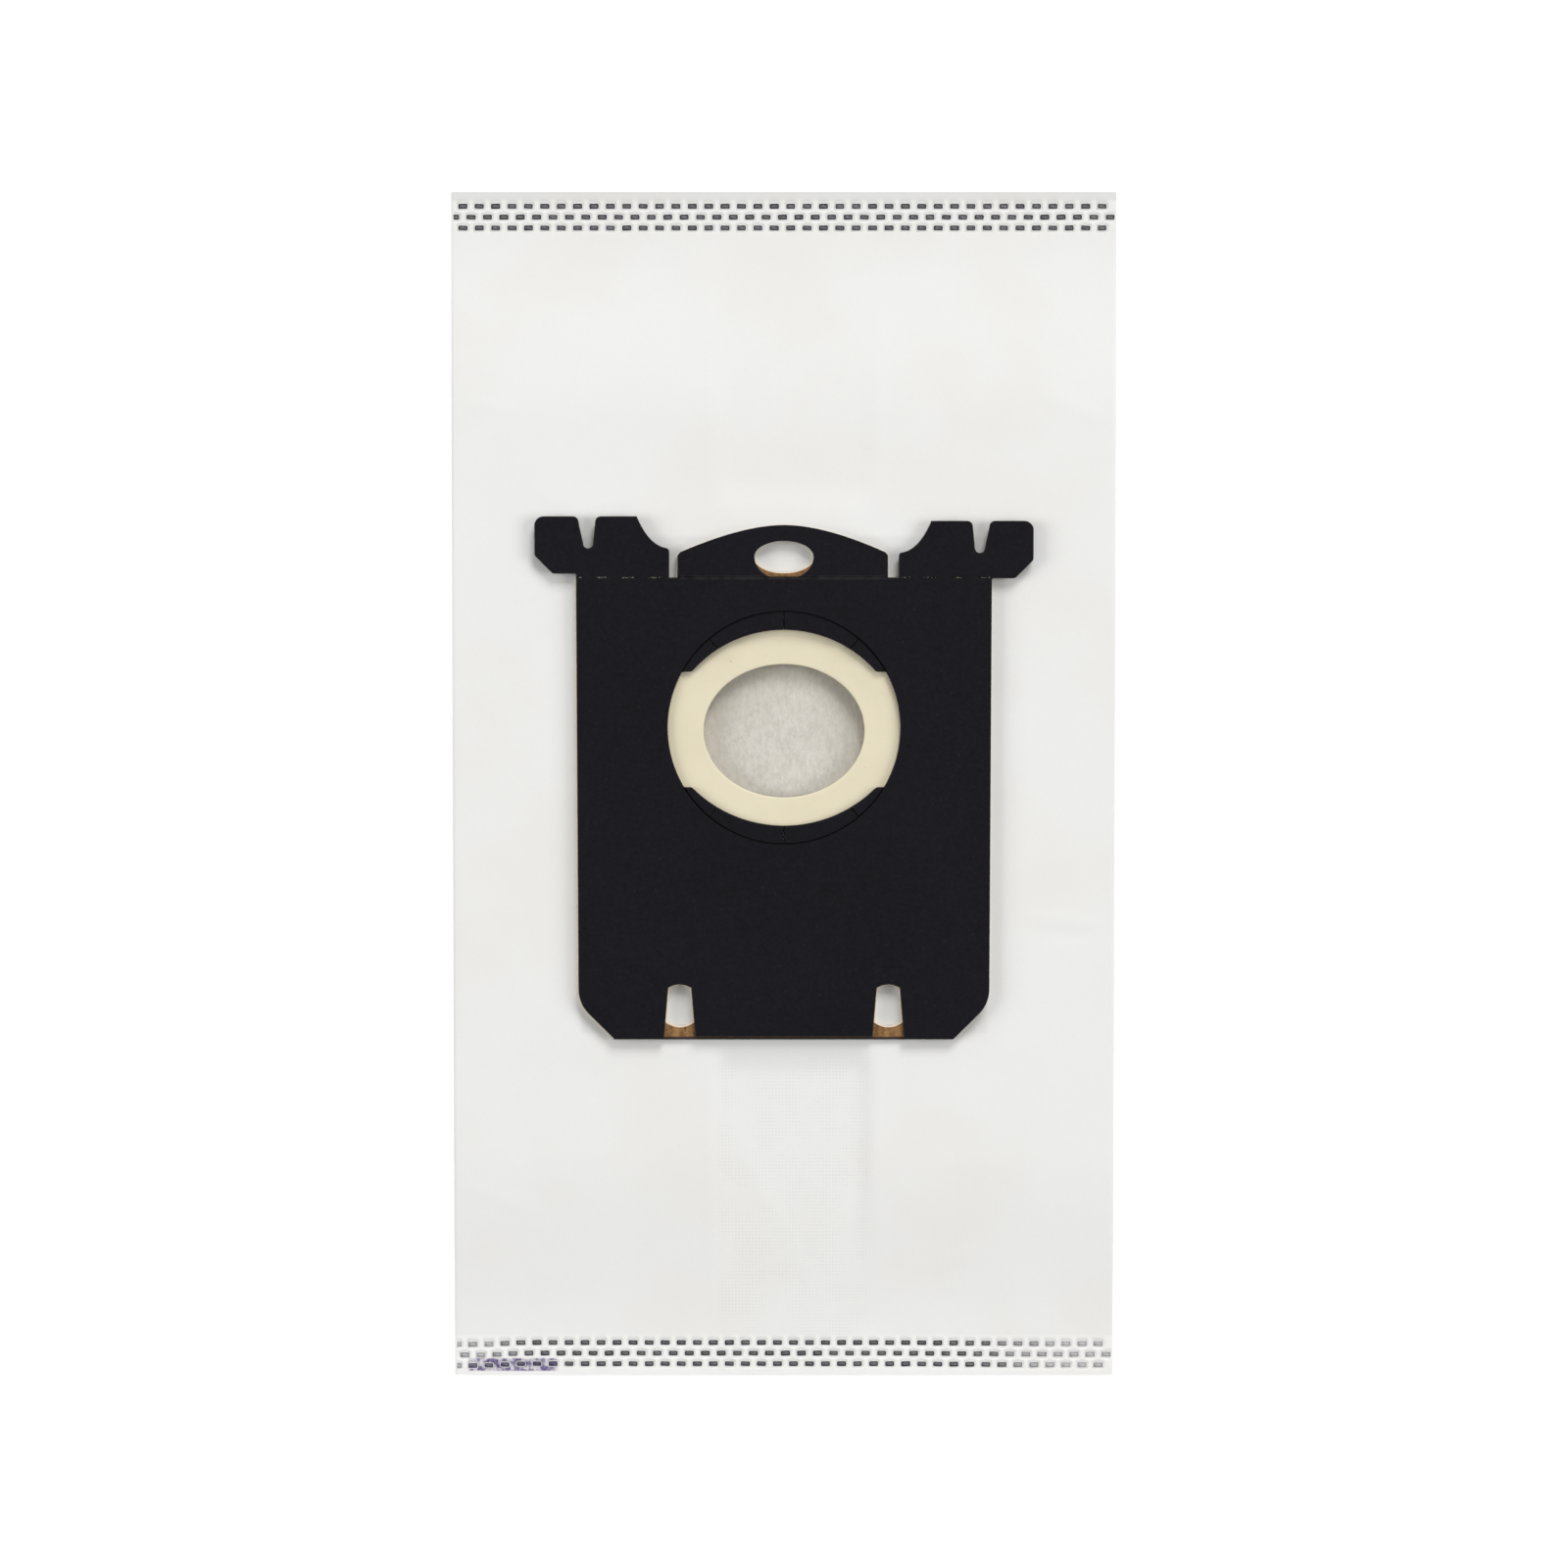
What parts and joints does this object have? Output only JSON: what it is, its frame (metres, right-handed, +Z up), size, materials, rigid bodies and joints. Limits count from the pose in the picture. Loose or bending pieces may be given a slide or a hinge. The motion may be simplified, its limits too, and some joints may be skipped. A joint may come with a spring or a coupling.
{
  "type": "vacuum dust bag",
  "caption": "Flat side-gusseted nonwoven dust bag with welded ends, and a two-layer board collar with a rubber-sealed oval inlet, a finger tab and bending ears.",
  "frame": {"origin": "under the middle of the bag, on the surface that it lies on", "axes": "+X across the bag, +Y along it towards the head weld that the collar's tabs point at, +Z up through the collar"},
  "size_m": [0.16, 0.2866, 0.0058],
  "materials": {
    "nonwoven": "white spunbond nonwoven with fine bonding dots",
    "kraft_board": "brown kraft face, light cut edges",
    "cream_rubber": "smooth cream sheet, slightly soft sheen",
    "black_board": "matte black coated board"
  },
  "bodies": {
    "root": {"filter_bag": "nonwoven", "collar_rear_plate": "kraft_board", "rubber_seal": "cream_rubber", "collar_front_plate": "black_board"}
  },
  "joints": []
}
